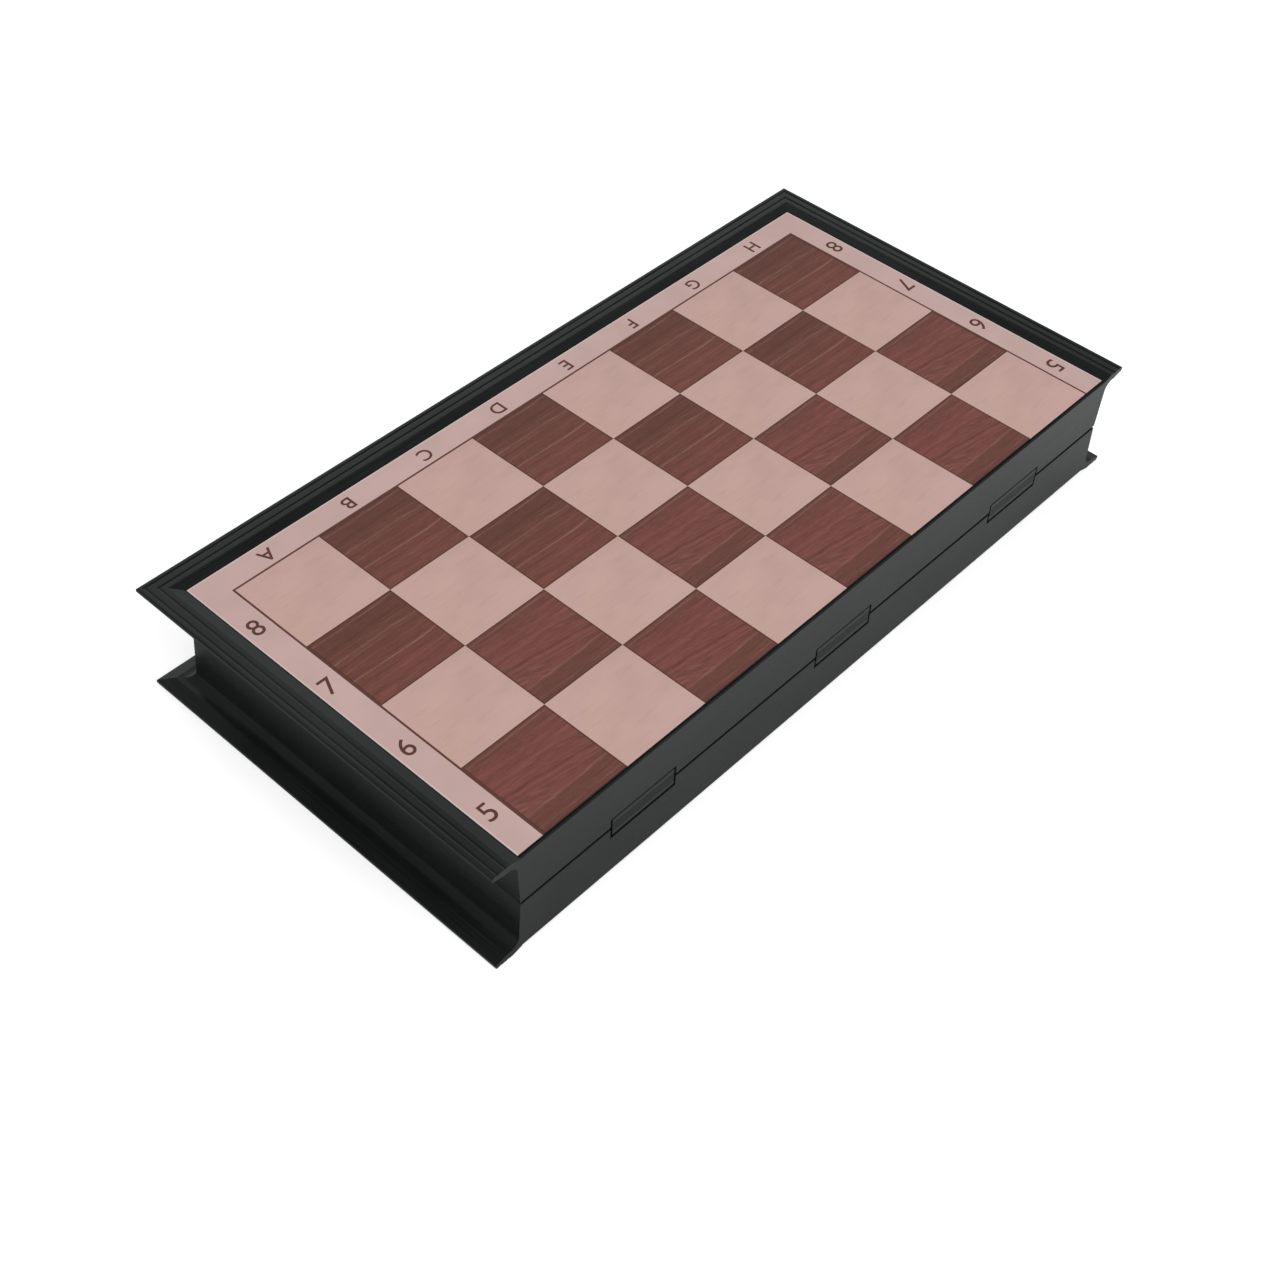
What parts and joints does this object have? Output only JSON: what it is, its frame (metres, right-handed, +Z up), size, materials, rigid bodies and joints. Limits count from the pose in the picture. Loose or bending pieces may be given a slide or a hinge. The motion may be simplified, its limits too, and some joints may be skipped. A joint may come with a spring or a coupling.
{
  "type": "folding chess board",
  "caption": "Folding chess board closed into a flat storage box: two moulded trays with a printed playing surface outside, joined by flush link hinges.",
  "frame": {"origin": "middle of the footprint, on the surface that the closed box lies on", "axes": "+X along the files from A to H, -Y towards the hinges, +Z up; the board is closed at rest"},
  "size_m": [0.32, 0.1614, 0.045],
  "materials": {
    "tray_plastic": "satin black with a faint moulded wood grain",
    "printed_sheet": "laminated print of wood-grained squares, low sheen",
    "steel_sheet": "tin plated",
    "link_plastic": "satin black, finely ribbed",
    "pin_steel": "drawn wire",
    "magnet": "nickel plated"
  },
  "bodies": {
    "lower_half": {"lower_shell": "tray_plastic", "lower_steel_sheet": "steel_sheet", "lower_printed_sheet": "printed_sheet", "lower_magnet_left": "magnet", "lower_magnet_right": "magnet", "lower_hinge_pin_1": "pin_steel", "lower_hinge_pin_2": "pin_steel", "lower_hinge_pin_3": "pin_steel"},
    "hinge_links": {"hinge_link_1": "link_plastic", "hinge_link_2": "link_plastic", "hinge_link_3": "link_plastic"},
    "upper_half": {"upper_shell": "tray_plastic", "upper_steel_sheet": "steel_sheet", "upper_printed_sheet": "printed_sheet", "upper_magnet_left": "magnet", "upper_magnet_right": "magnet", "upper_hinge_pin_1": "pin_steel", "upper_hinge_pin_2": "pin_steel", "upper_hinge_pin_3": "pin_steel"}
  },
  "joints": [
    {"name": "link_fold", "type": "hinge", "parent": "lower_half", "child": "hinge_links", "pos_m": [0, -0.07915, 0.01995], "axis": [1, 0, 0], "range_deg": [0, 90]},
    {"name": "lid_fold", "type": "hinge", "parent": "hinge_links", "child": "upper_half", "pos_m": [0, -0.07915, 0.02505], "axis": [1, 0, 0], "range_deg": [0, 90]}
  ],
  "couplings": [
    {"joint": "lid_fold", "follows": "link_fold", "ratio": 1}
  ]
}
